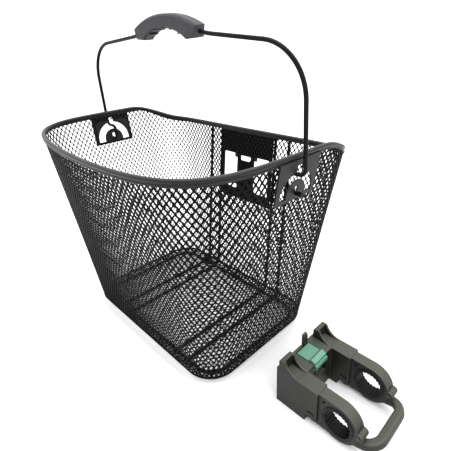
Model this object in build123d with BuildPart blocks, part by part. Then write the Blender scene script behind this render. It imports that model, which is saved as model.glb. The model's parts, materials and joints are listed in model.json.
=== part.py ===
"""Wire-mesh handlebar basket with a swinging carrying handle, and its quick-release handlebar bracket.

Frame: the origin is on the ground under the middle of the basket's base. +X is the rider's right,
along the handlebar, +Y points back towards the rider, and +Z is up. The bracket stands loose beside
the basket's right-hand side, its clamps pointing away from it. All lengths are in millimetres.
"""

import os
from math import atan2, cos, degrees, radians, sin, tan

from build123d import *

os.makedirs("parts", exist_ok=True)

# ---------------------------------------------------------------- basket: driving dimensions
SUPPORT_WIRE = 4.0  # diameter of the four support wires, which the basket stands on
RING_WIRE = 4.0  # diameter of the wire ring under the base
RIM_TUBE = 5.0  # diameter of the rim tube
MESH = 1.4  # thickness of the expanded-metal sheet
FLOOR_Z = SUPPORT_WIRE + RING_WIRE  # underside of the mesh
BASE_W = 254.0
BASE_D = 176.0
BASE_R = 33.5
HEM = 11.5  # width of the hem that the wall turns in under the base
MOUTH_RISE = 252.0  # height above FLOOR_Z at which the mouth outline is drawn
MOUTH_HALF_W = 174.3
MOUTH_BACK_Y = 114.0
MOUTH_FRONT_Y = -131.0
MOUTH_BACK_R = 50.0
SIDE_END = 0.27  # the side and the front of the mouth are one Bezier curve, cut at these parameters
CORNER_END = 0.73
RIM_BACK_Z = FLOOR_Z + 222.0  # height of the rim at the middle of the back
RIM_BACK_Y = 110.6
RIM_CLIMB = 23.0  # the rim climbs round the back corners and runs level along the sides
RIM_CLIMB_BACK = 110.0  # y at which the climb starts
RIM_CLIMB_RUN = 66.0
RIM_DIP = 0.34  # share of the climb that is lost at the middle of the front
RIM_EARS = 0.6  # extra height of the rim at full half-width

# ---------------------------------------------------------------- back plate and side plates
PLATE = 1.6  # thickness of the pressed plates
SKIN_GAP = 0.15  # gap between a wire or plate and the wall that it is welded to
BACK_PLATE_HALF_W = 48.0
BACK_PLATE_LOW = 119.6  # heights on the back plate are measured up the wall from its lower edge
BACK_PLATE_HIGH = 219.5
WINDOW_IN = 16.0
WINDOW_OUT = 42.5
WINDOW_STEP = 21.0
WINDOW_LOW = 134.2
WINDOW_HIGH = 186.5
WINDOW_STEP_HIGH = 181.0
LATCH_SLOT_HALF_W = 9.5
LATCH_SLOT_LOW = 178.0
LATCH_SLOT_HIGH = 185.0
INNER_WIRE_X = 50.6
OUTER_WIRE_X = 72.4

# ---------------------------------------------------------------- handle
PIVOT_Y = -3.0
PIVOT_Z = FLOOR_Z + 208.0
HANDLE_WIRE = 4.2
HANDLE_LEAN = 2.7  # forward lean of the standing handle, in degrees
PIVOT_CLEARANCE = 0.05
PIVOT_LIFT = 6.0  # extra height of the pivot hole
LEG_X = 177.8  # outer leg of the handle, which passes outside the rim
TAIL_X = 157.0  # inner leg, behind the side plate
STUB_X = 174.5  # end of the stub that turns in the pivot hole
CRANK = 19.0  # radius at which the wire passes through the arched slot
SHOULDER_V = 129.2  # heights on the handle are measured up from the pivot
GRIP_WIRE_V = 140.3
GRIP_WIRE_X = 58.0
CROWN_V = 154.0
CROWN_X = 14.0
ARCH_IN = 14.0
ARCH_OUT = 24.0
ARCH_DROP = 3.0
SIDE_PLATE_HALF_W = 29.5
SIDE_PLATE_LOW = -6.5
SIDE_PLATE_HIGH = 35.1
NOTCH_W = 8.0
NOTCH_TOP = 30.5
GRIP_DEPTH = 15.0

# ---------------------------------------------------------------- bracket
BRACKET_X = 178.0  # front face of the bracket
BRACKET_Y = -4.0  # its middle
BRACKET_W = 76.0
ARM_LENGTH = 48.0
BRIDGE_LENGTH = 26.0
ARM_W = 17.0
BODY_H = 43.0
HORN_H = 11.0
ARM_Y = BRACKET_W / 2 - ARM_W / 2
RING_R = 19.8
RING_BORE_R = 15.9
RING_W = 12.0
BAR_R = 12.7
SHIM_W = 14.0
RING_X = ARM_LENGTH + RING_R + 0.5
RING_Z = 22.5
SPLIT = 0.3  # half of the gap between the clamp halves
KNUCKLE_R = 4.0
KNUCKLE_X = RING_X + RING_R + 0.5
HINGE_PIN = 3.0
SCREW_X = ARM_LENGTH - 6.0
SCREW_R = 2.5
FLANGE_TOP = 8.0
FLANGE_LOW = 4.2
LOOP_REACH = 34.0
LOOP_RISE = 9.0
RELEASE_X = 15.0
RELEASE_Z = 34.0
RELEASE_PIN = 3.0


def save(piece, label):
    piece.part.label = label
    export_step(piece.part, f"parts/{label}.step")


# ---------------------------------------------------------------- the basket's ruled wall
def blossom(handles, *times):
    points = [Vector(*handle) for handle in handles]
    for t in times:
        points = [a * (1 - t) + b * t for a, b in zip(points, points[1:])]
    return points[0]


def bezier_part(handles, start, end):
    """The Bezier curve of four handles, cut to the stretch between two parameters."""
    corners = ((start, start, start), (start, start, end), (start, end, end), (end, end, end))
    return Bezier(*[blossom(handles, *times) for times in corners])


def base_half(inset):
    """Right-hand half of the base outline, from the middle of the back to the middle of the front."""
    x = BASE_W / 2 - inset
    y = BASE_D / 2 - inset
    r = BASE_R - inset
    return [
        Line((0, y), (x - r, y)),
        CenterArc((x - r, y - r), r, 90, -90),
        Line((x, y - r), (x, r - y)),
        CenterArc((x - r, r - y), r, 0, -90),
        Line((x - r, -y), (0, -y)),
    ]


def mouth_half(inset):
    """Right-hand half of the mouth outline, edge for edge the partner of the base outline."""
    x = MOUTH_HALF_W - inset
    back = MOUTH_BACK_Y - inset
    front = MOUTH_FRONT_Y + inset
    r = MOUTH_BACK_R - inset
    handles = ((x, back - r), (x - 7, -101), (x + 18, front), (0, front))
    return [
        Line((0, back), (x - r, back)),
        CenterArc((x - r, back - r), r, 90, -90),
        bezier_part(handles, 0, SIDE_END),
        bezier_part(handles, SIDE_END, CORNER_END),
        bezier_part(handles, CORNER_END, 1),
    ]


def wall_outline(half, inset):
    """Closed face of an outline given as its right-hand half."""
    with BuildLine() as outline:
        half(inset)
        mirror(about=Plane.YZ)
    make_face(outline.edges())


def rim_height(x, y):
    t = min(max((RIM_CLIMB_BACK - y) / RIM_CLIMB_RUN, 0), 1)
    climb = RIM_CLIMB * t * t * (3 - 2 * t)
    ears = (x / 174) ** 2
    return RIM_BACK_Z + RIM_EARS * ears + climb * (1 - RIM_DIP * (1 - ears))


def rim_point(low_edge, high_edge, t):
    """Point of the rim's centre line on the ruling at parameter t of a pair of edges."""
    low = low_edge @ t
    high = high_edge @ t
    height = RIM_BACK_Z
    for _ in range(5):
        point = low + (high - low) * ((height - FLOOR_Z) / MOUTH_RISE)
        height = rim_height(point.X, point.Y)
    return Vector(point.X, point.Y, height)


def bend_radii(points):
    """The largest bend that the runs beside each inner point leave room for."""
    radii = []
    for before, point, after in zip(points, points[1:], points[2:]):
        run = min((point - before).length, (after - point).length)
        turn = (point - before).get_angle(after - point)
        radii.append(0.45 * run / tan(radians(turn) / 2))
    return radii


def section(path):
    """Plane square to the start of a path."""
    return Plane(origin=path @ 0, z_dir=path % 0)


def back_wall(offset=0.0):
    """Plane of the back wall's outer face: local x is +X, local y climbs the wall, inside is up."""
    lean = atan2(MOUTH_BACK_Y - BASE_D / 2, MOUTH_RISE)
    plane = Plane(origin=(0, BASE_D / 2, FLOOR_Z), x_dir=(1, 0, 0), z_dir=(0, -cos(lean), sin(lean)))
    return plane.offset(offset)


SIDE_LEAN = atan2(173.0 - BASE_W / 2, MOUTH_RISE)


def side_wall(side, offset=0.0):
    """Plane of a side plate about the pivot: local y climbs the wall, outside is up."""
    pivot_x = BASE_W / 2 + (PIVOT_Z - FLOOR_Z) * tan(SIDE_LEAN)
    plane = Plane(
        origin=(side * pivot_x, PIVOT_Y, PIVOT_Z),
        x_dir=(0, side, 0),
        z_dir=(side * cos(SIDE_LEAN), 0, -sin(SIDE_LEAN)),
    )
    return plane.offset(offset)


def window_sketch(grow=0.0):
    """The two stepped windows and the latch slot of the back plate."""
    with BuildLine() as window:
        Polyline(
            (WINDOW_IN - grow, WINDOW_LOW - grow),
            (WINDOW_OUT + grow, WINDOW_LOW - grow),
            (WINDOW_OUT + grow, WINDOW_HIGH + grow),
            (WINDOW_STEP - grow, WINDOW_HIGH + grow),
            (WINDOW_STEP - grow, WINDOW_STEP_HIGH + grow),
            (WINDOW_IN - grow, WINDOW_STEP_HIGH + grow),
            close=True,
        )
    make_face(window.edges())
    mirror(about=Plane.YZ)
    slot_mid = (LATCH_SLOT_LOW + LATCH_SLOT_HIGH) / 2
    with Locations((0, slot_mid)):
        Rectangle(2 * (LATCH_SLOT_HALF_W + grow), LATCH_SLOT_HIGH - LATCH_SLOT_LOW + 2 * grow)


with BuildPart() as wall_mesh:
    for inset, mode in ((0.0, Mode.ADD), (MESH, Mode.SUBTRACT)):
        with BuildSketch(Plane.XY.offset(FLOOR_Z)) as low:
            wall_outline(base_half, inset)
        with BuildSketch(Plane.XY.offset(FLOOR_Z + MOUTH_RISE)) as high:
            wall_outline(mouth_half, inset)
        loft(sections=[low.sketch, high.sketch], ruled=True, mode=mode)
    with BuildSketch(Plane.XY.offset(FLOOR_Z)):
        RectangleRounded(BASE_W, BASE_D, BASE_R)
        RectangleRounded(BASE_W - 2 * HEM, BASE_D - 2 * HEM, BASE_R - HEM, mode=Mode.SUBTRACT)
    extrude(amount=MESH)
    cutters = []
    for y in (-150, 44, 57, 70, 84, 97, 110, 150):
        edge = rim_height(200, y)
        with BuildSketch(Plane.XZ.offset(-y)) as cutter:
            with BuildLine():
                ThreePointArc((-200, edge), (0, rim_height(0, y)), (200, edge))
                Polyline((200, edge), (200, edge + 90), (-200, edge + 90), (-200, edge))
            make_face()
        cutters.append(cutter.sketch)
    loft(sections=cutters, ruled=True, mode=Mode.SUBTRACT)
    with BuildSketch(back_wall(-3)):
        window_sketch(grow=1.0)
    extrude(amount=8, mode=Mode.SUBTRACT)
    for side in (1, -1):
        with BuildSketch(side_wall(side, -6)):
            with Locations((0, 12)):
                Rectangle(2 * SIDE_PLATE_HALF_W - 6, 31)
        extrude(amount=12, mode=Mode.SUBTRACT)
save(wall_mesh, "wall_mesh")

with BuildPart() as base_mesh:
    with BuildSketch(Plane.XY.offset(FLOOR_Z + MESH)):
        inset = MESH + SKIN_GAP
        RectangleRounded(BASE_W - 2 * inset, BASE_D - 2 * inset, BASE_R - inset)
    extrude(amount=MESH)
save(base_mesh, "base_mesh")

rim_points = []
for low_edge, high_edge, count in zip(base_half(MESH / 2), mouth_half(MESH / 2), (3, 3, 3, 4, 3)):
    rim_points += [rim_point(low_edge, high_edge, (k + 0.5) / count) for k in range(count)]
RIM_FLAT = 8.0  # the rim runs square through the middle of the back and of the front
back_y = rim_points[0].Y
front_y = rim_points[-1].Y
back_end = [Vector(0, back_y, rim_height(0, back_y)), Vector(RIM_FLAT, back_y, rim_height(0, back_y))]
front_end = [Vector(RIM_FLAT, front_y, rim_height(0, front_y)), Vector(0, front_y, rim_height(0, front_y))]
rim_points = back_end + rim_points + front_end

with BuildPart() as rim_tube:
    with BuildLine() as rim_line:
        FilletPolyline(*rim_points, radius=bend_radii(rim_points))
    with BuildSketch(section(rim_line.line)):
        Circle(RIM_TUBE / 2)
    sweep(path=rim_line.line)
    mirror(about=Plane.YZ)
save(rim_tube, "rim_tube")

with BuildPart() as base_ring:
    with BuildLine(Plane.XY.offset(SUPPORT_WIRE + RING_WIRE / 2)) as ring_line:
        x = BASE_W / 2 - HEM
        y = BASE_D / 2 - HEM
        r = BASE_R - HEM
        Line((0, y), (x - r, y))
        CenterArc((x - r, y - r), r, 90, -90)
        Line((x, y - r), (x, r - y))
        CenterArc((x - r, r - y), r, 0, -90)
        Line((x - r, -y), (0, -y))
    with BuildSketch(Plane(origin=(0, y, SUPPORT_WIRE + RING_WIRE / 2), z_dir=(1, 0, 0))):
        Circle(RING_WIRE / 2)
    sweep(path=ring_line.line)
    mirror(about=Plane.YZ)
save(base_ring, "base_ring")

WALL_SLOPE = (MOUTH_BACK_Y - BASE_D / 2) / MOUTH_RISE
for label, wire_x in (
    ("support_wire_right_outer", OUTER_WIRE_X),
    ("support_wire_right_inner", INNER_WIRE_X),
    ("support_wire_left_inner", -INNER_WIRE_X),
    ("support_wire_left_outer", -OUTER_WIRE_X),
):
    stand_off = BASE_D / 2 + (SUPPORT_WIRE / 2 + SKIN_GAP) / cos(atan2(WALL_SLOPE, 1))
    low_z = SUPPORT_WIRE / 2
    top_z = rim_height(wire_x, RIM_BACK_Y) - RIM_TUBE / 2 - 0.6
    front_y = HEM - BASE_D / 2 - RING_WIRE / 2
    with BuildPart() as support_wire:
        with BuildLine(Plane.YZ.offset(wire_x)) as wire_line:
            FilletPolyline(
                (front_y, low_z),
                (stand_off + WALL_SLOPE * (low_z - FLOOR_Z), low_z),
                (stand_off + WALL_SLOPE * (top_z - FLOOR_Z), top_z),
                radius=6,
            )
        with BuildSketch(section(wire_line.line)):
            Circle(SUPPORT_WIRE / 2)
        sweep(path=wire_line.line)
    save(support_wire, label)

with BuildPart() as mounting_plate:
    with BuildSketch(back_wall(-SKIN_GAP)) as plate_face:
        with Locations((0, (BACK_PLATE_LOW + BACK_PLATE_HIGH) / 2)):
            RectangleRounded(2 * BACK_PLATE_HALF_W, BACK_PLATE_HIGH - BACK_PLATE_LOW, 3)
        with BuildSketch(mode=Mode.SUBTRACT):
            window_sketch()
        fillet(plate_face.vertices().filter_by(lambda v: abs(v.X) < WINDOW_OUT + 1), radius=1)
    extrude(amount=-PLATE)
save(mounting_plate, "mounting_plate")

for label, side in (("pivot_plate_right", 1), ("pivot_plate_left", -1)):
    with BuildPart() as pivot_plate:
        with BuildSketch(side_wall(side, 2 * SKIN_GAP)):
            with Locations((0, (SIDE_PLATE_LOW + SIDE_PLATE_HIGH) / 2)):
                Rectangle(2 * SIDE_PLATE_HALF_W, SIDE_PLATE_HIGH - SIDE_PLATE_LOW)
            with BuildSketch(mode=Mode.SUBTRACT):
                Circle(ARCH_OUT)
                Circle(ARCH_IN, mode=Mode.SUBTRACT)
                with Locations((0, -ARCH_OUT)):
                    Rectangle(2 * ARCH_OUT, 2 * ARCH_OUT, mode=Mode.SUBTRACT)
                arch_mid = (ARCH_IN + ARCH_OUT) / 2
                with Locations((arch_mid, -ARCH_DROP / 2), (-arch_mid, -ARCH_DROP / 2)):
                    Rectangle(ARCH_OUT - ARCH_IN, ARCH_DROP)
                notch_low = ARCH_OUT - 2
                with Locations((0, (notch_low + NOTCH_TOP) / 2)):
                    RectangleRounded(NOTCH_W, NOTCH_TOP - notch_low, NOTCH_W / 2 - 0.6)
        extrude(amount=PLATE)
        with BuildSketch(Plane.YZ):
            with Locations((PIVOT_Y, PIVOT_Z + PIVOT_LIFT / 2)):
                SlotCenterToCenter(PIVOT_LIFT, HANDLE_WIRE + 2 * PIVOT_CLEARANCE, rotation=90)
        extrude(amount=side * BASE_W, mode=Mode.SUBTRACT)
    save(pivot_plate, label)


# ---------------------------------------------------------------- handle
lean = radians(HANDLE_LEAN)
handle_plane = Plane(origin=(0, PIVOT_Y, PIVOT_Z), x_dir=(1, 0, 0), z_dir=(0, -cos(lean), -sin(lean)))
HANDLE_ROUTE = (
    (0, CROWN_V),
    (CROWN_X, CROWN_V),
    (GRIP_WIRE_X, GRIP_WIRE_V),
    (LEG_X, SHOULDER_V),
    (LEG_X, CRANK),
    (TAIL_X, CRANK),
    (TAIL_X, 0),
    (STUB_X, 0),
)
HANDLE_BENDS = [85, 120, 48, 6.5, 6.5, 6.5]


def handle_rod(radius):
    """Round rod along the handle's bent wire."""
    with BuildLine(handle_plane) as route:
        FilletPolyline(*HANDLE_ROUTE, radius=HANDLE_BENDS)
    with BuildSketch(section(route.line)) as disc:
        Circle(radius)
    sweep(disc.sketch, path=route.line)
    mirror(about=Plane.YZ)


with BuildPart() as handle_wire:
    handle_rod(HANDLE_WIRE / 2)
save(handle_wire, "handle_wire")

with BuildPart() as wire_channel:
    handle_rod(HANDLE_WIRE / 2 + 0.1)

for label, direction in (("grip_front", 1), ("grip_back", -1)):
    with BuildPart() as grip:
        with BuildSketch(handle_plane.offset(direction * 0.05)) as grip_face:
            with BuildLine():
                ThreePointArc((-55, 148), (0, 161), (55, 148))
                Polyline((55, 148), (52, 136.5), (37, 135.3))
                ThreePointArc((37, 135.3), (0, 147), (-37, 135.3))
                Polyline((-37, 135.3), (-52, 136.5), (-55, 148))
            make_face()
        extrude(amount=direction * GRIP_DEPTH / 2)
        outer_face = grip.faces().sort_by(Axis(handle_plane.origin, handle_plane.z_dir))
        chamfer(outer_face[-1 if direction > 0 else 0].edges(), 2)
        add(wire_channel.part, mode=Mode.SUBTRACT)
    save(grip, label)


# ---------------------------------------------------------------- bracket
def deck(height):
    """Horizontal plane of the bracket: local x runs from the front face to the clamps."""
    return Plane(origin=(BRACKET_X, BRACKET_Y, height))


def profile(y):
    """Upright plane of the bracket at y from its middle: local x as deck, local y is up."""
    return Plane(origin=(BRACKET_X, BRACKET_Y + y, 0), x_dir=(1, 0, 0), z_dir=(0, -1, 0))


def box(x0, x1, y0, y1, z0, z1, mode=Mode.ADD):
    """Block between bracket coordinates."""
    with BuildSketch(deck(z0)) as face:
        with Locations(((x0 + x1) / 2, (y0 + y1) / 2)):
            Rectangle(x1 - x0, y1 - y0)
    extrude(face.sketch, amount=z1 - z0, mode=mode)


with BuildPart() as bracket_housing:
    box(0, ARM_LENGTH, -BRACKET_W / 2, BRACKET_W / 2, 0, BODY_H)
    notch_y = BRACKET_W / 2 - ARM_W
    box(BRIDGE_LENGTH, ARM_LENGTH, -notch_y, notch_y, 0, BODY_H, Mode.SUBTRACT)
    fillet(bracket_housing.edges().filter_by(Axis.Z), radius=1)
    fillet(bracket_housing.edges().group_by(Axis.Z)[-1], radius=0.8)
    for side in (1, -1):
        with BuildSketch(profile(side * ARM_Y)):
            with BuildLine():
                Polyline((24, BODY_H - 1), (3, BODY_H - 1), (3, BODY_H + HORN_H - 2))
                TangentArc((3, BODY_H + HORN_H - 2), (5, BODY_H + HORN_H), tangent=(0, 1))
                Line((5, BODY_H + HORN_H), (10, BODY_H + HORN_H))
                ThreePointArc((10, BODY_H + HORN_H), (15, BODY_H + 3.8), (24, BODY_H))
                Line((24, BODY_H), (24, BODY_H - 1))
            make_face()
        extrude(amount=ARM_W / 2 - 0.4, both=True)
        arm_in = ARM_Y - ARM_W / 2 + 2.6
        arm_out = ARM_Y + ARM_W / 2 - 2.6
        y0, y1 = sorted((side * arm_in, side * arm_out))
        box(8.5, 26, y0, y1, BODY_H - 0.8, BODY_H + HORN_H + 1, Mode.SUBTRACT)
        # seats for the clamp strap's tongue, the lower clamp's flange, its screw and its nut
        y0, y1 = sorted((side * (ARM_Y - RING_W / 2 - 0.1), side * (ARM_Y + RING_W / 2 + 0.1)))
        strap_top = RING_Z + RING_R
        box(ARM_LENGTH - 8, ARM_LENGTH + 1, y0, y1, strap_top - 4.1, strap_top + 0.1, Mode.SUBTRACT)
        y0, y1 = sorted((side * (notch_y - 1), side * (BRACKET_W / 2 + 1)))
        box(ARM_LENGTH - 13, ARM_LENGTH + 1, y0, y1, -1, FLANGE_TOP + 0.1, Mode.SUBTRACT)
        box(SCREW_X - 4.1, SCREW_X + 4.1, y0, y1, 12, 16.2, Mode.SUBTRACT)
        with BuildSketch(deck(FLANGE_TOP)):
            with Locations((SCREW_X, side * ARM_Y)):
                Circle(SCREW_R + 0.2)
        extrude(amount=14, mode=Mode.SUBTRACT)
    # pocket of the release lever, slot of its catch, and the lever's pin hole
    box(3.5, BRIDGE_LENGTH + 1, -10.6, 10.6, 22, BODY_H + 1, Mode.SUBTRACT)
    box(-1, 5, 2.4, 9.6, 30, BODY_H + 1, Mode.SUBTRACT)
    with BuildSketch(profile(14)):
        with Locations((RELEASE_X, RELEASE_Z)):
            Circle(RELEASE_PIN / 2)
    extrude(amount=28, mode=Mode.SUBTRACT)
    # lightening pockets from below
    box(3, BRIDGE_LENGTH - 3, -18, 18, -1, 18, Mode.SUBTRACT)
save(bracket_housing, "bracket_housing")

with BuildPart() as release_pin:
    with BuildSketch(profile(14)):
        with Locations((RELEASE_X, RELEASE_Z)):
            Circle(RELEASE_PIN / 2)
    extrude(amount=28)
save(release_pin, "release_pin")

with BuildPart() as release_button:
    with BuildSketch(profile(-10)):
        with BuildLine():
            Polyline(
                (4.8, 40.2),
                (8, 40.2),
                (8, 30.6),
                (24, 30.6),
                (24, 37.4),
                (28.6, 37.4),
                (28.6, 41.2),
                (26.6, 41.2),
                (26.6, 44.4),
                (21.6, 46.0),
                (18.5, 43.4),
                (4.8, 43.4),
                close=True,
            )
        make_face()
    extrude(amount=-20)
    fillet(release_button.edges().filter_by(Axis.Y).group_by(Axis.Z)[-1], radius=0.8)
    with BuildSketch(profile(-11)):
        with Locations((RELEASE_X, RELEASE_Z)):
            Circle(RELEASE_PIN / 2 + PIVOT_CLEARANCE)
    extrude(amount=-22, mode=Mode.SUBTRACT)
save(release_button, "release_button")

with BuildPart() as release_catch:
    with BuildSketch(profile(2.9)):
        with BuildLine():
            Polyline(
                (1, 34),
                (7.95, 34),
                (7.95, 39.8),
                (4.2, 39.8),
                (4.2, 54.0),
                (3.0, 56.8),
                (1.0, 57.2),
                close=True,
            )
        make_face()
    extrude(amount=-6.2)
save(release_catch, "release_catch")

with BuildPart() as release_spring:
    with BuildSketch(deck(22.1)):
        with Locations((20.5, 0)):
            Circle(3.2)
            Circle(2.2, mode=Mode.SUBTRACT)
    extrude(amount=8.4)
save(release_spring, "release_spring")


def ring_half(y, upper):
    """Half of a clamp ring about the bar axis, RING_W wide."""
    with BuildSketch(profile(y)) as face:
        with Locations((RING_X, RING_Z)):
            Circle(RING_R)
            Circle(RING_BORE_R, mode=Mode.SUBTRACT)
        cut_z = RING_Z - RING_R + SPLIT if upper else RING_Z + RING_R - SPLIT
        with Locations((RING_X, cut_z)):
            Rectangle(2 * RING_R + 2, 2 * RING_R, mode=Mode.SUBTRACT)
    extrude(face.sketch, amount=RING_W / 2, both=True)


def knuckle(y, width):
    """Hinge knuckle behind the ring, with its bridge to the ring, drawn about y."""
    with BuildSketch(profile(y)) as face:
        with Locations((KNUCKLE_X, RING_Z)):
            Circle(KNUCKLE_R)
    extrude(face.sketch, amount=width / 2, both=True)


def knuckle_gap(y, width):
    """Room for a knuckle of the other half."""
    with BuildSketch(profile(y)) as face:
        with Locations((KNUCKLE_X, RING_Z)):
            Circle(KNUCKLE_R + 0.3)
    extrude(face.sketch, amount=width / 2, both=True, mode=Mode.SUBTRACT)


def pin_hole(y):
    with BuildSketch(profile(y)) as face:
        with Locations((KNUCKLE_X, RING_Z)):
            Circle(HINGE_PIN / 2)
    extrude(face.sketch, amount=RING_W, both=True, mode=Mode.SUBTRACT)


def bar_bore(y):
    with BuildSketch(profile(y)) as face:
        with Locations((RING_X, RING_Z)):
            Circle(RING_BORE_R)
    extrude(face.sketch, amount=RING_W, both=True, mode=Mode.SUBTRACT)


for place, side in (("far", 1), ("near", -1)):
    ring_y = side * ARM_Y
    with BuildPart() as clamp_strap:
        ring_half(ring_y, upper=True)
        strap_top = RING_Z + RING_R
        y0, y1 = ring_y - RING_W / 2, ring_y + RING_W / 2
        box(ARM_LENGTH - 7.9, RING_X, y0, y1, strap_top - 3.9, strap_top)
        box(ARM_LENGTH + 0.3, ARM_LENGTH + 4, y0, y1, RING_Z + SPLIT, strap_top)
        for knuckle_side in (1, -1):
            knuckle_gap(ring_y + knuckle_side * 4.4, 4.2)
        knuckle(ring_y, 4.6)
        bar_bore(ring_y)
        pin_hole(ring_y)
    save(clamp_strap, f"clamp_strap_{place}")

    with BuildPart() as hinge_pin:
        with BuildSketch(profile(ring_y)):
            with Locations((KNUCKLE_X, RING_Z)):
                Circle(HINGE_PIN / 2)
        extrude(amount=RING_W / 2 + 0.4, both=True)
    save(hinge_pin, f"hinge_pin_{place}")

    with BuildPart() as clamp_nut:
        box(SCREW_X - 4, SCREW_X + 4, ring_y - 4, ring_y + 4, 12.1, 16.1)
        with BuildSketch(deck(12)):
            with Locations((SCREW_X, ring_y)):
                Circle(SCREW_R + PIVOT_CLEARANCE)
        extrude(amount=5, mode=Mode.SUBTRACT)
    save(clamp_nut, f"clamp_nut_{place}")

    with BuildPart() as clamp_screw:
        with BuildSketch(deck(FLANGE_LOW - 0.2)):
            with Locations((SCREW_X, ring_y)):
                Circle(SCREW_R)
        extrude(amount=16.5)
        with BuildSketch(deck(0.4)):
            with Locations((SCREW_X, ring_y)):
                Circle(4.4)
        extrude(amount=FLANGE_LOW - 0.6)
        chamfer(clamp_screw.edges().group_by(Axis.Z)[0], 0.5)
        with BuildSketch(deck(0.4)):
            with Locations((SCREW_X, ring_y)):
                RegularPolygon(2.3, 6)
        extrude(amount=2.2, mode=Mode.SUBTRACT)
    save(clamp_screw, f"clamp_screw_{place}")

    for half, sign in (("upper", 1), ("lower", -1)):
        with BuildPart() as shim:
            with BuildSketch(profile(ring_y)):
                with Locations((RING_X, RING_Z)):
                    Circle(RING_BORE_R - 0.05)
                    Circle(BAR_R, mode=Mode.SUBTRACT)
                    with PolarLocations(BAR_R, 10, start_angle=18 * sign, angular_range=144 * sign):
                        Rectangle(1.6, 1.6, mode=Mode.SUBTRACT)
                with Locations((RING_X, RING_Z - sign * (RING_R / 2 - SPLIT))):
                    Rectangle(2 * RING_R + 2, RING_R, mode=Mode.SUBTRACT)
            extrude(amount=SHIM_W / 2, both=True)
        save(shim, f"shim_{place}_{half}")

with BuildPart() as clamp_loop:
    for side in (1, -1):
        ring_y = side * ARM_Y
        ring_half(ring_y, upper=False)
        y0, y1 = ring_y - RING_W / 2, ring_y + RING_W / 2
        box(ARM_LENGTH - 12.5, ARM_LENGTH + 12, y0, y1, FLANGE_LOW, FLANGE_TOP)
        box(ARM_LENGTH + 0.3, ARM_LENGTH + 4, y0, y1, FLANGE_LOW, RING_Z - SPLIT)
        knuckle_gap(ring_y, 5.2)
        for knuckle_side in (1, -1):
            knuckle(ring_y + knuckle_side * 4.3, 3.4)
        bar_bore(ring_y)
        pin_hole(ring_y)
        with BuildSketch(deck(FLANGE_LOW - 1)):
            with Locations((SCREW_X, ring_y)):
                Circle(SCREW_R + 0.2)
        extrude(amount=6, mode=Mode.SUBTRACT)
    rise = atan2(LOOP_RISE, LOOP_REACH)
    loop_plane = Plane(
        origin=(BRACKET_X + RING_X, BRACKET_Y, RING_Z - RING_R + 4.2),
        x_dir=(cos(rise), 0, sin(rise)),
        z_dir=(-sin(rise), 0, cos(rise)),
    )
    with BuildLine(loop_plane) as loop_line:
        loop_end = LOOP_REACH / cos(rise)
        FilletPolyline((4, -ARM_Y), (loop_end, -ARM_Y), (loop_end, ARM_Y), (4, ARM_Y), radius=14)
    with BuildSketch(section(loop_line.line)):
        RectangleRounded(8, 9, 2.6)
    sweep(path=loop_line.line)
    for side in (1, -1):
        bar_bore(side * ARM_Y)
save(clamp_loop, "clamp_loop")
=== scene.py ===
import json
import math

import bpy
import numpy as np
from mathutils import Matrix, Vector


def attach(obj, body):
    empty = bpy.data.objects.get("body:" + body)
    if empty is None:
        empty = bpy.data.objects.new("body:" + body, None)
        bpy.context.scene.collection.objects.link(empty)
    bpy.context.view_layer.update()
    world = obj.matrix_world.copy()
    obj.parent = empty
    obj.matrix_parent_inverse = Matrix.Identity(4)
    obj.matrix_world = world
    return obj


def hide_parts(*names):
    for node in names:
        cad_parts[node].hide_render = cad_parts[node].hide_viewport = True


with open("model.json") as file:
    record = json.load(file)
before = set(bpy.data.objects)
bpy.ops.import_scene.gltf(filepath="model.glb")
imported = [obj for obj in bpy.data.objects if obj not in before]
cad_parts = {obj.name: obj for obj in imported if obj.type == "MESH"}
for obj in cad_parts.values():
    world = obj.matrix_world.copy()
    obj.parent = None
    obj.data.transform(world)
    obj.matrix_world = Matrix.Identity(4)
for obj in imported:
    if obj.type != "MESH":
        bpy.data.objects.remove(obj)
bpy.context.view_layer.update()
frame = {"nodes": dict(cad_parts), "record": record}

nodes = frame["nodes"]
MM = 0.001
STRAND_THICK = 0.9

# ---------------------------------------------------------------- sizes shared with the CAD, in mm
FLOOR_Z = 8.0
RISE = 252.0
BASE = (127.0, 88.0, 33.5)              # half width, half depth, corner radius
MOUTH = (174.3, 114.0, 50.0, -131.0)    # half width, back edge, back corner radius, front edge
CUTS = (0.0, 0.27, 0.73, 1.0)           # where the curve of the mouth's front is split
SHEET = 1.4
PIVOT = (-3.0, 216.0)                   # y and z of the handle's pivots
SIDE_LEAN = math.atan2(173.0 - 127.0, RISE)
BACK_LEAN = math.atan2(114.0 - 88.0, RISE)
LEAN = math.radians(2.7)
BRACKET = (178.0, -4.0)                 # x and y that the bracket's own sizes start from
RIM_BACK_Z = FLOOR_Z + 222.0
RIM_HALF = 174.0
RIM_EARS = 0.6
RIM_CLIMB = 23.0
RIM_CLIMB_BACK = 110.0
RIM_CLIMB_RUN = 66.0
RIM_DIP = 0.34


def rim_height(x, y):
    """The rim is level at the back, climbs to the front, and is a little lower in the middle there."""
    t = np.clip((RIM_CLIMB_BACK - y) / RIM_CLIMB_RUN, 0, 1)
    climb = RIM_CLIMB * t * t * (3 - 2 * t)
    ears = (x / RIM_HALF) ** 2
    return RIM_BACK_Z + RIM_EARS * ears + climb * (1 - RIM_DIP * (1 - ears))


# ---------------------------------------------------------------- materials
EDGE_RADIUS = 0.0007
EDGE_TURN = (0.99, 0.85)    # likeness of the two normals where wear starts and where it is full
PAINTED_TOP_LIGHT_SPAN = (0.3, 0.95)     # upward part of the normal where the painted top light starts and is full
ROUGH_SPREAD = 0.07
BUMP_DEPTH = 0.0004


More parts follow.
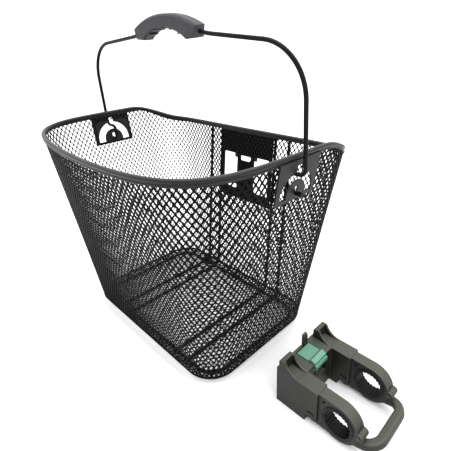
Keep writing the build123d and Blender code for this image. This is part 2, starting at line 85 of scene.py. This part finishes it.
def tint(tree, under, value, span, color):
    """Lays a colour over another one as a value runs over a span."""
    amount = tree.nodes.new("ShaderNodeMapRange")
    amount.inputs["From Min"].default_value = span[0]
    amount.inputs["From Max"].default_value = span[1]
    tree.links.new(value, amount.inputs["Value"])
    mix = tree.nodes.new("ShaderNodeMix")
    mix.data_type = "RGBA"
    mix.inputs["B"].default_value = (*color, 1)
    tree.links.new(amount.outputs["Result"], mix.inputs["Factor"])
    tree.links.new(under, mix.inputs["A"])
    return mix.outputs["Result"]


# top is the colour of a painted top light, laid on faces that look up in the world
def material(name, color, rough, grain=0.0, grain_size=900.0, vary=0.25, metallic=0.0,
             wear=None, specular=0.5, streak=None, top=None):
    mat = bpy.data.materials.new(name)
    mat.use_nodes = True
    tree = mat.node_tree
    shader = tree.nodes["Principled BSDF"]
    shader.inputs["Metallic"].default_value = metallic
    shader.inputs["Specular IOR Level"].default_value = specular
    coords = tree.nodes.new("ShaderNodeTexCoord")
    blotch = tree.nodes.new("ShaderNodeTexNoise")
    blotch.inputs["Scale"].default_value = 60.0
    blotch.inputs["Detail"].default_value = 5.0
    tree.links.new(coords.outputs["Object"], blotch.inputs["Vector"])
    ramp = tree.nodes.new("ShaderNodeValToRGB")
    ramp.color_ramp.elements[0].position = 0.3
    ramp.color_ramp.elements[1].position = 0.7
    dark = [c * (1 - vary) for c in color]
    light = [min(1.0, c * (1 + vary)) for c in color]
    ramp.color_ramp.elements[0].color = (*dark, 1)
    ramp.color_ramp.elements[1].color = (*light, 1)
    tree.links.new(blotch.outputs["Fac"], ramp.inputs["Fac"])
    result = ramp.outputs["Color"]
    if wear:
        # paint rubbed thin along the edges, where a rounded normal turns away from the face's own
        geometry = tree.nodes.new("ShaderNodeNewGeometry")
        rounded = tree.nodes.new("ShaderNodeBevel")
        rounded.samples = 4
        rounded.inputs["Radius"].default_value = EDGE_RADIUS
        likeness = tree.nodes.new("ShaderNodeVectorMath")
        likeness.operation = "DOT_PRODUCT"
        tree.links.new(geometry.outputs["Normal"], likeness.inputs[0])
        tree.links.new(rounded.outputs["Normal"], likeness.inputs[1])
        result = tint(tree, result, likeness.outputs["Value"], EDGE_TURN, wear)
    if top:
        # painted light: faces that look up in the world are painted lighter, a painted top light standing in
        # for light from above that the even light alone would not show
        painted_top_light_normal = tree.nodes.new("ShaderNodeNewGeometry")
        split = tree.nodes.new("ShaderNodeSeparateXYZ")
        tree.links.new(painted_top_light_normal.outputs["Normal"], split.inputs["Vector"])
        result = tint(tree, result, split.outputs["Z"], PAINTED_TOP_LIGHT_SPAN, top)
    tree.links.new(result, shader.inputs["Base Color"])
    rough_range = tree.nodes.new("ShaderNodeMapRange")
    rough_range.inputs["To Min"].default_value = rough - ROUGH_SPREAD
    rough_range.inputs["To Max"].default_value = rough + ROUGH_SPREAD
    tree.links.new(blotch.outputs["Fac"], rough_range.inputs["Value"])
    tree.links.new(rough_range.outputs["Result"], shader.inputs["Roughness"])
    if grain:
        fine = tree.nodes.new("ShaderNodeTexNoise")
        fine.inputs["Scale"].default_value = grain_size
        fine.inputs["Detail"].default_value = 3.0
        if streak:
            stretch = tree.nodes.new("ShaderNodeMapping")
            stretch.inputs["Scale"].default_value = streak
            tree.links.new(coords.outputs["Object"], stretch.inputs["Vector"])
            tree.links.new(stretch.outputs["Vector"], fine.inputs["Vector"])
        else:
            tree.links.new(coords.outputs["Object"], fine.inputs["Vector"])
        bump = tree.nodes.new("ShaderNodeBump")
        bump.inputs["Strength"].default_value = grain
        bump.inputs["Distance"].default_value = BUMP_DEPTH
        tree.links.new(fine.outputs["Fac"], bump.inputs["Height"])
        tree.links.new(bump.outputs["Normal"], shader.inputs["Normal"])
    return mat


COAT = {
    "mesh": material("mesh_coat", (0.0016, 0.0016, 0.0016), 0.55, grain=0.25, grain_size=1500,
                     specular=0.06),
    # top= gives the rim's upward faces a painted top light, a painted highlight along the rim
    "rim": material("rim_coat", (0.006, 0.006, 0.0065), 0.36, grain=0.3, grain_size=1400, specular=0.22,
                    top=(0.03, 0.03, 0.031)),
    "wire": material("wire_coat", (0.0025, 0.0025, 0.003), 0.40, grain=0.25, grain_size=1400,
                     specular=0.11),
    "plate": material("plate_coat", (0.007, 0.007, 0.007), 0.50, grain=0.35, grain_size=1200, specular=0.18,
                      wear=(0.035, 0.035, 0.035)),
    "grip": material("grip_rubber", (0.024, 0.025, 0.029), 0.48, grain=0.35, grain_size=1800, specular=0.3),
    # top= gives the bracket's upward faces a painted top light
    "bracket": material("bracket_plastic", (0.0095, 0.0098, 0.0078), 0.46, grain=0.5, grain_size=1600,
                        wear=(0.05, 0.05, 0.043), specular=0.25, top=(0.060, 0.064, 0.050)),
    "shim": material("shim_plastic", (0.005, 0.005, 0.005), 0.6, specular=0.2, grain=0.4,
                     grain_size=1300),
    # top= gives the button's upward faces a painted top light
    "button": material("button_plastic", (0.06, 0.17, 0.115), 0.42, grain=0.25, grain_size=1500,
                       vary=0.08, top=(0.10, 0.25, 0.175)),
    "screw": material("screw_coat", (0.018, 0.018, 0.015), 0.42, grain=0.4, grain_size=1700),
    "steel": material("blackened_steel", (0.07, 0.07, 0.068), 0.36, grain=0.3, grain_size=500, metallic=1.0,
                      streak=(1, 1, 12)),
}
slot_of = {part["node"]: part["material_slot"] for part in frame["record"]["subparts"]}
for name, node in nodes.items():
    node.data.materials.clear()
    node.data.materials.append(COAT[slot_of[name]])


def soften(names, width, segments=2):
    """Rounds the sharp edges of CAD nodes that stay in view."""
    for name in names:
        bevel = nodes[name].modifiers.new("soft_edges", "BEVEL")
        bevel.width = width * MM
        bevel.segments = segments
        bevel.limit_method = "ANGLE"
        bevel.angle_limit = math.radians(35)
        bevel.harden_normals = False


def piece(name, verts, faces, body, slot, smooth=True):
    """A mesh from points in mm, riding on a body."""
    mesh = bpy.data.meshes.new(name)
    corners = [tuple(float(c) * MM for c in v) for v in verts]
    mesh.from_pydata(corners, [], [list(map(int, f)) for f in faces])
    mesh.validate()
    mesh.update()
    obj = bpy.data.objects.new(name, mesh)
    bpy.context.scene.collection.objects.link(obj)
    mesh.materials.append(COAT[slot])
    if smooth:
        mesh.polygons.foreach_set("use_smooth", [True] * len(mesh.polygons))
    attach(obj, body)
    return obj


def lofted(name, rings, body, slot, close_ends=True, flip=False):
    """Skin over rings of points of equal count; flip turns its faces the other way."""
    n = len(rings[0])
    verts = [p for ring in rings for p in ring]
    faces = []
    for k in range(len(rings) - 1):
        for i in range(n):
            j = (i + 1) % n
            a, b, c, d = k * n + i, k * n + j, (k + 1) * n + j, (k + 1) * n + i
            faces.append((a, d, c, b) if flip else (a, b, c, d))
    if close_ends:
        faces.append(tuple(range(n))[::-1])
        faces.append(tuple((len(rings) - 1) * n + i for i in range(n)))
    return piece(name, verts, faces, body, slot)


def as_sheet(obj):
    """Gives a flat lattice the strands' thickness."""
    thick = obj.modifiers.new("sheet", "SOLIDIFY")
    thick.thickness = STRAND_THICK * MM
    thick.offset = 0


# ---------------------------------------------------------------- the wall's surface
def bezier(handles, t):
    t = t[:, None]
    h = np.array(handles, float)
    return h[0] * (1 - t) ** 3 + 3 * h[1] * t * (1 - t) ** 2 + 3 * h[2] * t**2 * (1 - t) + h[3] * t**3


def corner(cx, cy, r, a0, a1, t):
    a = np.radians(a0 + (a1 - a0) * t)
    return np.stack([cx + r * np.cos(a), cy + r * np.sin(a)], 1)


def base_half(t, inset):
    x, y, r = BASE[0] - inset, BASE[1] - inset, BASE[2] - inset
    return np.concatenate([
        np.stack([t * (x - r), y + 0 * t], 1),
        corner(x - r, y - r, r, 90, 0, t),
        np.stack([x + 0 * t, (y - r) * (1 - 2 * t)], 1),
        corner(x - r, r - y, r, 0, -90, t),
        np.stack([(x - r) * (1 - t), -y + 0 * t], 1),
    ])


def mouth_half(t, inset):
    x, back, r, front = MOUTH[0] - inset, MOUTH[1] - inset, MOUTH[2] - inset, MOUTH[3] + inset
    handles = ((x, back - r), (x - 7, -101), (x + 18, front), (0, front))
    parts = [np.stack([t * (x - r), back + 0 * t], 1), corner(x - r, back - r, r, 90, 0, t)]
    for a, b in zip(CUTS, CUTS[1:]):
        parts.append(bezier(handles, a + (b - a) * t))
    return np.concatenate(parts)


STEPS = np.linspace(0, 1, 61)[:-1]
LEVELS = 127
SHARES = 1200
TABLE_TOP = 1.04            # the table runs a little past the mouth


def closed(half):
    """Whole outline from its right half, from the middle of the back by the right, front and left."""
    left = half[::-1] * [-1, 1]
    return np.concatenate([half, left])


def wall_table(inset):
    """Wall points on a grid of height levels by share of the girth."""
    low = closed(np.concatenate([base_half(STEPS, inset), [[0, inset - BASE[1]]]]))
    high = closed(np.concatenate([mouth_half(STEPS, inset), [[0, MOUTH[3] + inset]]]))
    share = np.linspace(0, 1, SHARES + 1)
    rows = []
    for k in range(LEVELS):
        h = TABLE_TOP * k / (LEVELS - 1)
        ring = low + (high - low) * h
        run = np.concatenate([[0], np.cumsum(np.linalg.norm(np.diff(ring, axis=0), axis=1))])
        run /= run[-1]
        rows.append(np.stack([np.interp(share, run, ring[:, 0]), np.interp(share, run, ring[:, 1])], 1))
    return np.array(rows)


def on_table(table, share, h):
    """Wall points (x, y, z) in mm at shares of the girth and heights h, 0 at the base and 1 at the mouth."""
    share = np.mod(share, 1.0) * SHARES
    level = np.clip(h / TABLE_TOP, 0, 1) * (LEVELS - 1)
    i0 = np.minimum(share.astype(int), SHARES - 1)
    k0 = np.minimum(level.astype(int), LEVELS - 2)
    fs, fl = (share - i0)[:, None], (level - k0)[:, None]
    near = table[k0, i0] * (1 - fs) + table[k0, i0 + 1] * fs
    far = table[k0 + 1, i0] * (1 - fs) + table[k0 + 1, i0 + 1] * fs
    xy = near * (1 - fl) + far * fl
    return np.column_stack([xy, FLOOR_Z + RISE * h])


WALL_MID = wall_table(SHEET / 2)
WALL_OUT = wall_table(0.0)


CELL_POINTS = 20            # eight outer, eight inner, four corners


def diamond_cells(a_cells, b_low, b_high, hole_at, wrap):
    """Lattice of diamond frames in cell units: each cell's centre, points (a, b) and one cell's faces.
    hole_at gives the opening's share of a cell."""
    tip = 0.17
    corners = [(0.5, 0.0), (0.0, 0.5), (-0.5, 0.0), (0.0, -0.5)]
    outer = []
    for (x0, y0), (x1, y1) in zip(corners, corners[1:] + corners[:1]):
        for f in (tip, 1 - tip):
            outer.append((x0 + (x1 - x0) * f, y0 + (y1 - y0) * f))
    faces = []
    for k in range(4):
        a, b = 2 * k, 2 * k + 1
        faces.append((a, b, 8 + b, 8 + a))
        c = (2 * k + 2) % 8
        faces.append((b, 16 + (k + 1) % 4, c, 8 + c, 8 + b))
    centres = [(i, j) for j in range(b_low, b_high) for i in range(a_cells)]
    centres += [(i + 0.5, j + 0.5) for j in range(b_low, b_high) for i in range(a_cells)]
    centres = np.array(centres, float)
    count = len(centres)
    outer = np.tile(np.array(outer), (count, 1, 1))
    inner = outer * hole_at(centres)[:, None, None]
    ring = np.concatenate([outer, inner, np.tile(np.array(corners), (count, 1, 1))], axis=1)
    points = (centres[:, None, :] + ring).reshape(-1, 2)
    if wrap:
        points[:, 0] = np.mod(points[:, 0] + 1e-6, a_cells) - 1e-6
    return centres, points, faces


def weld(points, faces_of, keep):
    """Shares the points that neighbouring cells have in common."""
    keys = np.round(points * 4096).astype(np.int64)
    _, first, where = np.unique(keys, axis=0, return_index=True, return_inverse=True)
    where = where.reshape(-1)
    faces = []
    for c in np.nonzero(keep)[0]:
        base = c * CELL_POINTS
        for f in faces_of:
            faces.append([int(where[base + v]) for v in f])
    used = sorted({v for f in faces for v in f})
    renumber = {v: k for k, v in enumerate(used)}
    return points[first][used], [[renumber[v] for v in f] for f in faces]


def in_box(u, v, box):
    u0, u1, v0, v1 = box
    return (u > u0) & (u < u1) & (v > v0) & (v < v1)


def push_out(u, v, box):
    """Moves points inside a rectangle to its nearest edge."""
    u0, u1, v0, v1 = box
    inside = in_box(u, v, box)
    gaps = np.stack([u - u0, u1 - u, v - v0, v1 - v])
    side = np.argmin(gaps, axis=0)
    u = np.where(inside & (side == 0), u0, np.where(inside & (side == 1), u1, u))
    v = np.where(inside & (side == 2), v0, np.where(inside & (side == 3), v1, v))
    return u, v, inside


COLUMNS = 146
PITCH = 9.35
SLANT = RISE / math.cos(math.radians(9.0))
HEM = 11.2
UNDER_RIM = 0.5             # the lattice ends this far under the rim's own height
# openings of the pressed plates, as (left, right, low, high) across the wall and up its slope
BACK_OPENINGS = ((15, 43.5, 133.2, 187.5), (-43.5, -15, 133.2, 187.5), (-10.5, 10.5, 177, 186))
PIVOT_OPENING = (-26.5, 26.5, -3.5, 27.5)
BACK_FROM_Y = 70
SIDE_FROM_X = 120


def wall_hole(cells):
    """Openings of the wall, as a share of a cell. They differ round the girth and by height for looks:
    a real sheet has one strand width."""
    share = np.mod(cells[:, 0] / COLUMNS, 1.0)
    upper = np.interp(share, (0.0, 0.10, 0.16, 0.36, 0.44, 0.60, 0.68, 0.90, 0.94, 1.0),
                      (0.82, 0.84, 0.76, 0.74, 0.71, 0.72, 0.87, 0.84, 0.74, 0.76))
    lower = np.interp(share, (0.0, 0.10, 0.16, 0.34, 0.42, 0.60, 0.68, 0.92, 1.0),
                      (0.86, 0.86, 0.79, 0.80, 0.88, 0.88, 0.89, 0.88, 0.86))
    high = np.clip(cells[:, 1] / 20.0, 0, 1)
    return lower + (upper - lower) * high


centres, points, cell_faces = diamond_cells(COLUMNS, -2, 29, wall_hole, True)


def wall_place(ab):
    """Lattice points on the wall, on the hem under it, and cut off at the rim."""
    share = ab[:, 0] / COLUMNS
    rise = ab[:, 1] * PITCH
    h = np.maximum(rise, 0) / SLANT
    place = on_table(WALL_MID, share, h)
    for _ in range(4):
        top = (rim_height(place[:, 0], place[:, 1]) - UNDER_RIM - FLOOR_Z) / RISE
        h = np.minimum(np.maximum(rise, 0) / SLANT, top)
        place = on_table(WALL_MID, share, h)
    cut = np.maximum(rise, 0) / SLANT > top + 1e-6
    under = rise < 0
    turn_in = np.minimum(-rise, HEM) * under
    low = on_table(WALL_MID, share, 0 * share)
    ahead = on_table(WALL_MID, share + 0.0008, 0 * share) - low
    inward = np.column_stack([ahead[:, 1], -ahead[:, 0]])
    inward /= np.linalg.norm(inward, axis=1)[:, None]
    flat = low[:, :2] + inward * turn_in[:, None]
    place[under, :2] = flat[under]
    place[:, 2] = np.where(under, FLOOR_Z + SHEET / 2, np.maximum(place[:, 2], FLOOR_Z + SHEET / 2))
    return place, cut


middle, _ = wall_place(centres)
rise_mid = centres[:, 1] * PITCH
tops = rim_height(middle[:, 0], middle[:, 1])
keep = (FLOOR_Z + RISE * rise_mid / SLANT < tops + 3) & (rise_mid > -HEM - 2)
back_v = (middle[:, 2] - FLOOR_Z) / math.cos(BACK_LEAN)
on_back = middle[:, 1] > BACK_FROM_Y
for box in BACK_OPENINGS:
    keep &= ~(on_back & in_box(middle[:, 0], back_v, box))
side_v = (middle[:, 2] - PIVOT[1]) / math.cos(SIDE_LEAN)
on_side = np.abs(middle[:, 0]) > SIDE_FROM_X
keep &= ~(on_side & in_box(middle[:, 1] - PIVOT[0], side_v, PIVOT_OPENING))
lattice, wall_faces = weld(points, cell_faces, keep)
wall_points, _ = wall_place(lattice)
x, y, z = wall_points.T.copy()
v = (z - FLOOR_Z) / math.cos(BACK_LEAN)
at_back = y > BACK_FROM_Y
for box in BACK_OPENINGS:
    nx, nv, inside = push_out(x, v, box)
    hit = inside & at_back
    x, v = np.where(hit, nx, x), np.where(hit, nv, v)
z = np.where(at_back, FLOOR_Z + v * math.cos(BACK_LEAN), z)
v = (z - PIVOT[1]) / math.cos(SIDE_LEAN)
ny, nv, inside = push_out(y - PIVOT[0], v, PIVOT_OPENING)
hit = inside & (np.abs(x) > SIDE_FROM_X)
y = np.where(hit, ny + PIVOT[0], y)
z = np.where(hit, PIVOT[1] + nv * math.cos(SIDE_LEAN), z)
wall = piece("wall_strands", np.column_stack([x, y, z]), wall_faces, "basket", "mesh",
             smooth=False)
as_sheet(wall)
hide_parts("wall_mesh")

# ---------------------------------------------------------------- the base
BASE_LONG, BASE_SHORT = 9.35, 6.4
BASE_COLUMNS = 42
BASE_MIDDLE = 20.75
BASE_HOLE = 0.90


def base_hole(cells):
    return np.full(len(cells), BASE_HOLE)


centres, points, cell_faces = diamond_cells(BASE_COLUMNS, -15, 15, base_hole, False)
inset = SHEET + 0.15
bx, by, br = BASE[0] - inset, BASE[1] - inset, BASE[2] - inset


def base_place(ab):
    xb = (ab[:, 0] - BASE_MIDDLE) * BASE_SHORT
    yb = ab[:, 1] * BASE_LONG
    return np.stack([xb, yb], 1)


def outside_by(p):
    """How far points lie outside the rounded rectangle, and the way back in."""
    q = np.abs(p) - [bx - br, by - br]
    d = np.maximum(q, 0)
    length = np.linalg.norm(d, axis=1)
    return length - br, d / np.maximum(length, 1e-9)[:, None] * np.sign(p)


mid = base_place(centres)
keep = outside_by(mid)[0] < 0.5
lattice, base_faces = weld(points, cell_faces, keep)
flat = base_place(lattice)
over, way = outside_by(flat)
flat = flat - way * np.maximum(over, 0)[:, None]
level = np.full(len(flat), FLOOR_Z + 1.5 * SHEET)
base = piece("base_strands", np.column_stack([flat, level]), base_faces, "basket", "mesh",
             smooth=False)
as_sheet(base)
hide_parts("base_mesh")

# ---------------------------------------------------------------- folded hem under the rim
RING = 480
HEM_PROFILE = (    # drop under the rim's height, and how far out
    (1.8, 0.0), (3.2, 0.1), (3.4, 0.9), (4.6, 0.95), (5.0, 0.7),
    (5.2, 0.25), (5.1, -0.6), (4.6, -1.6), (4.0, -2.0), (1.8, -2.1),
)
FOLD_PROFILE = (   # climb over the base's underside, and how far in
    (2.0, 0.0), (0.5, 0.0), (0.0, 0.5), (0.0, 2.2),
    (0.9, 2.2), (1.2, 1.3), (2.0, 1.1), (2.0, 0.0),
)


def outward_of(ring):
    """Level unit vectors that point out of the basket all round a ring of points."""
    ahead = np.roll(ring, -1, axis=0) - np.roll(ring, 1, axis=0)
    outward = np.column_stack([-ahead[:, 1], ahead[:, 0], np.zeros(len(ring))])
    outward /= np.linalg.norm(outward, axis=1)[:, None]
    return outward * np.sign(np.sum(outward[:, :2] * ring[:, :2], axis=1))[:, None]


share = np.arange(RING) / RING
crest = on_table(WALL_OUT, share, np.full(RING, 0.9))
for _ in range(5):
    crest = on_table(WALL_OUT, share, (rim_height(crest[:, 0], crest[:, 1]) - FLOOR_Z) / RISE)
crest_h = (crest[:, 2] - FLOOR_Z) / RISE
outward = outward_of(crest)
rows = [on_table(WALL_OUT, share, crest_h - drop / RISE) + outward * out for drop, out in HEM_PROFILE]
lofted("rim_hem", rows, "basket", "rim", close_ends=False, flip=True)

# ---------------------------------------------------------------- pressed edge at the wall's foot
outward = outward_of(on_table(WALL_OUT, share, np.zeros(RING)))
rows = [on_table(WALL_OUT, share, np.full(RING, climb / RISE)) - outward * turn_in
        for climb, turn_in in FOLD_PROFILE]
lofted("base_fold", rows, "basket", "mesh", close_ends=False)

# ---------------------------------------------------------------- CAD parts that stay
soften(["mounting_plate", "pivot_plate_left", "pivot_plate_right"], 0.35, 2)
soften(["grip_front", "grip_back"], 1.6, 4)
soften(["bracket_housing", "clamp_loop", "clamp_strap_near", "clamp_strap_far"], 0.6, 3)
soften(["release_button", "release_catch"], 0.7, 3)
soften(["clamp_screw_near", "clamp_screw_far", "clamp_nut_near", "clamp_nut_far"], 0.25, 2)
soften(["shim_near_upper", "shim_near_lower", "shim_far_upper", "shim_far_lower"], 0.2, 2)


def at_handle(x, v, d):
    """A point beside the handle: v up from the pivot, d towards the front."""
    y = PIVOT[0] - v * math.sin(LEAN) - d * math.cos(LEAN)
    return x, y, PIVOT[1] + v * math.cos(LEAN) - d * math.sin(LEAN)


# finger ridges under the grip
RIDGE_WIDE, RIDGE_HIGH = 3.4, 1.3
ridges, ridge_faces = [], []
for x0 in (-26, -13, 0, 13, 26):
    centre_v = 147 - 11.7 * (x0 / 37.0) ** 2 + 0.1
    count = len(ridges)
    for i in range(9):
        a = math.pi * i / 8
        for d in (-6.3, -5.4, 0.0, 5.4, 6.3):
            squeeze = 0.45 if abs(d) > 6 else (0.9 if abs(d) > 5 else 1.0)
            ridges.append(at_handle(x0 + RIDGE_WIDE * math.cos(a) * squeeze,
                                    centre_v - RIDGE_HIGH * math.sin(a) * squeeze + 0.3, d))
    for i in range(8):
        for k in range(4):
            p = count + i * 5 + k
            ridge_faces.append((p, p + 1, p + 6, p + 5))
piece("grip_ridges", ridges, ridge_faces, "handle", "grip")

# ---------------------------------------------------------------- knurled rims of the clamp screws' heads
SCREW_X = 42.0
KNURL_PROFILE = ((0.7, 4.2, 4.3), (1.0, 4.35, 4.75), (3.4, 4.35, 4.75), (3.7, 4.2, 4.3))
for place, screw_y in (("near", -33.5), ("far", 25.5)):
    rings = []
    for z, valley, crest_r in KNURL_PROFILE:
        ring = []
        for i in range(96):
            a = 2 * math.pi * i / 96
            r = crest_r if i % 4 < 2 else valley
            ring.append((BRACKET[0] + SCREW_X + r * math.cos(a), screw_y + r * math.sin(a), z))
        rings.append(ring)
    lofted(f"screw_knurl_{place}", rings, f"screw_{place}", "screw", close_ends=False)

# ---------------------------------------------------------------- coil spring under the button
turns, per_turn, wire_r = 5.0, 18, 0.42
COIL_X, COIL_R, COIL_SEAT, COIL_HIGH = 20.5, 2.7, 22.1, 6.1
path = []
for i in range(int(turns * per_turn) + 1):
    a = 2 * math.pi * i / per_turn
    path.append((BRACKET[0] + COIL_X + COIL_R * math.cos(a), BRACKET[1] + COIL_R * math.sin(a),
                 COIL_SEAT + 0.5 + COIL_HIGH * i / (turns * per_turn)))
path = np.array(path)
rings = []
for i, p in enumerate(path):
    t = path[min(i + 1, len(path) - 1)] - path[max(i - 1, 0)]
    t /= np.linalg.norm(t)
    side = np.cross(t, (0, 0, 1))
    side /= np.linalg.norm(side)
    up = np.cross(side, t)
    rings.append([tuple(p + wire_r * (side * math.cos(b) + up * math.sin(b)))
                  for b in np.linspace(0, 2 * math.pi, 9)[:-1]])
spring = lofted("release_coil", rings, "bracket", "steel")
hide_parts("release_spring")

# ---------------------------------------------------------------- studio
floor_mesh = bpy.data.meshes.new("studio_floor")
FLOOR_HALF, FLOOR_DROP = 6.0, -0.0003
floor_mesh.from_pydata([(sx * FLOOR_HALF, sy * FLOOR_HALF, FLOOR_DROP)
                        for sx, sy in ((-1, -1), (1, -1), (1, 1), (-1, 1))], [], [(0, 1, 2, 3)])
floor = bpy.data.objects.new("studio_floor", floor_mesh)
bpy.context.scene.collection.objects.link(floor)
floor_mat = bpy.data.materials.new("studio_floor")
floor_mat.use_nodes = True
floor_shader = floor_mat.node_tree.nodes["Principled BSDF"]
floor_shader.inputs["Base Color"].default_value = (0.93, 0.93, 0.93, 1)
floor_shader.inputs["Roughness"].default_value = 0.9
floor_mesh.materials.append(floor_mat)

world = bpy.data.worlds.new("studio")
bpy.context.scene.world = world
world.use_nodes = True
sky = world.node_tree.nodes["Background"]
sky.inputs["Color"].default_value = (1, 1, 1, 1)
sky.inputs["Strength"].default_value = 1.45


def softbox(name, spot, aim, size, power):
    lamp = bpy.data.lights.new(name, "AREA")
    lamp.shape = "RECTANGLE"
    lamp.size, lamp.size_y = size
    lamp.energy = power
    obj = bpy.data.objects.new(name, lamp)
    bpy.context.scene.collection.objects.link(obj)
    obj.location = spot
    obj.rotation_mode = "QUATERNION"
    obj.rotation_quaternion = (Vector(aim) - Vector(spot)).to_track_quat("-Z", "Y")


softbox("top_box", (0.1, 0.1, 1.6), (0.05, 0, 0.1), (1.6, 1.6), 22)
softbox("right_box", (1.3, -0.1, 0.8), (0.05, 0, 0.15), (0.9, 0.9), 5)

camera_data = bpy.data.cameras.new("camera")
camera = bpy.data.objects.new("camera", camera_data)
bpy.context.scene.collection.objects.link(camera)
bpy.context.scene.camera = camera
SENSOR, FRAME = 36.0, 451.0    # the lens and its shift are given in shares of the frame
camera_data.sensor_width = SENSOR
camera_data.lens = 383.8 * SENSOR / FRAME
camera_data.shift_x = -3.93 / FRAME
camera_data.shift_y = -39.62 / FRAME
camera_data.clip_start = 0.01
camera_data.clip_end = 50
yaw, pitch, roll = (math.radians(a) for a in (46.27, -21.46, -2.236))
forward = Vector((-math.sin(yaw) * math.cos(pitch), math.cos(yaw) * math.cos(pitch), math.sin(pitch)))
right = forward.cross(Vector((0, 0, 1))).normalized()
up = right.cross(forward)
cam_x = right * math.cos(roll) + up * math.sin(roll)
cam_y = -right * math.sin(roll) + up * math.cos(roll)
turn = Matrix((cam_x, cam_y, -forward)).transposed()
camera.matrix_world = Matrix.Translation(Vector((0.3602, -0.2716, 0.3533))) @ turn.to_4x4()

bpy.context.scene.view_settings.view_transform = "Standard"
